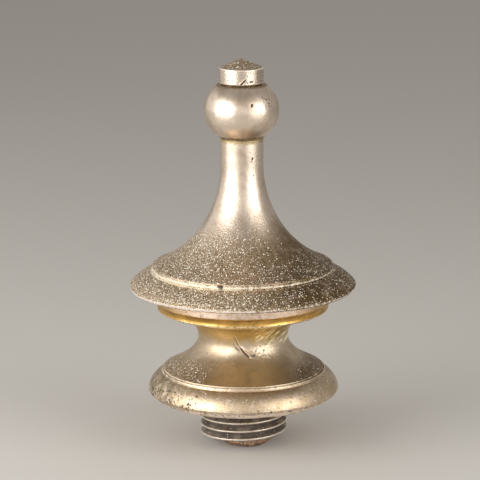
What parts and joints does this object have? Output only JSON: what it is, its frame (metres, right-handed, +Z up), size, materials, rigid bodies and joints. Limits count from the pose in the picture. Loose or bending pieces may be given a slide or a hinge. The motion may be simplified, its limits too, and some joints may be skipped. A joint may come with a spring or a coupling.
{
  "type": "hood ornament",
  "caption": "Turned finial ornament: cap nut, ball and flared spire on a wide canopy, narrow waist, round base flange and a male-threaded plug underneath.",
  "frame": {"origin": "centre of the flat ring under the base flange, where the ornament seats", "axes": "+Z up along the ornament's axis, towards the cap; the hammered rod end is shifted towards +X; -Y is the front"},
  "size_m": [0.0574, 0.0574, 0.0991],
  "materials": {
    "cap_nickel": "worn bright nickel plate with a grainy darkened cone",
    "ball_nickel": "worn satin nickel plate with a few pits",
    "spire_nickel": "worn satin nickel plate, speckled and pitted on the flare",
    "canopy_nickel": "dull speckled nickel plate with brass showing at the edges",
    "pan_brass": "aged brass with a grey plated band",
    "waist_nickel": "worn warm nickel plate with brass showing through",
    "base_nickel": "worn warm nickel plate with a rubbed and pitted lower edge",
    "plug_steel": "dark oiled steel with bright thread crests",
    "rod_copper": "rough copper-brown hammered metal",
    "solder": "dull brown stained solder",
    "inner_brass": "plain turned brass"
  },
  "bodies": {
    "ornament": {"ball": "ball_nickel", "ball_bush": "inner_brass", "solder_ring": "solder", "spire": "spire_nickel", "neck_bush": "inner_brass", "spire_tube": "inner_brass", "foot_plate": "inner_brass", "canopy": "canopy_nickel", "canopy_spacer": "inner_brass", "canopy_pan": "pan_brass", "waist_spool": "waist_nickel", "waist_spacer": "inner_brass", "base_flange": "base_nickel", "base_plate": "inner_brass", "plug_lock_nut": "plug_steel", "threaded_plug": "plug_steel", "burr_washer": "inner_brass", "tie_rod": "rod_copper"},
    "washer": {"cap_washer": "solder"},
    "cap": {"tip_cap": "cap_nickel"}
  },
  "joints": [
    {"name": "cap_rise", "type": "slide", "parent": "ornament", "child": "washer", "axis": [0, 0, 1], "range_m": [0, 0.003]},
    {"name": "cap_turn", "type": "hinge", "parent": "washer", "child": "cap", "pos_m": [0, 0, 0.0806], "axis": [0, 0, 1], "range_deg": [0, 1080]}
  ],
  "couplings": [
    {"joint": "cap_turn", "follows": "cap_rise", "rad_per_m": 6283.2}
  ]
}
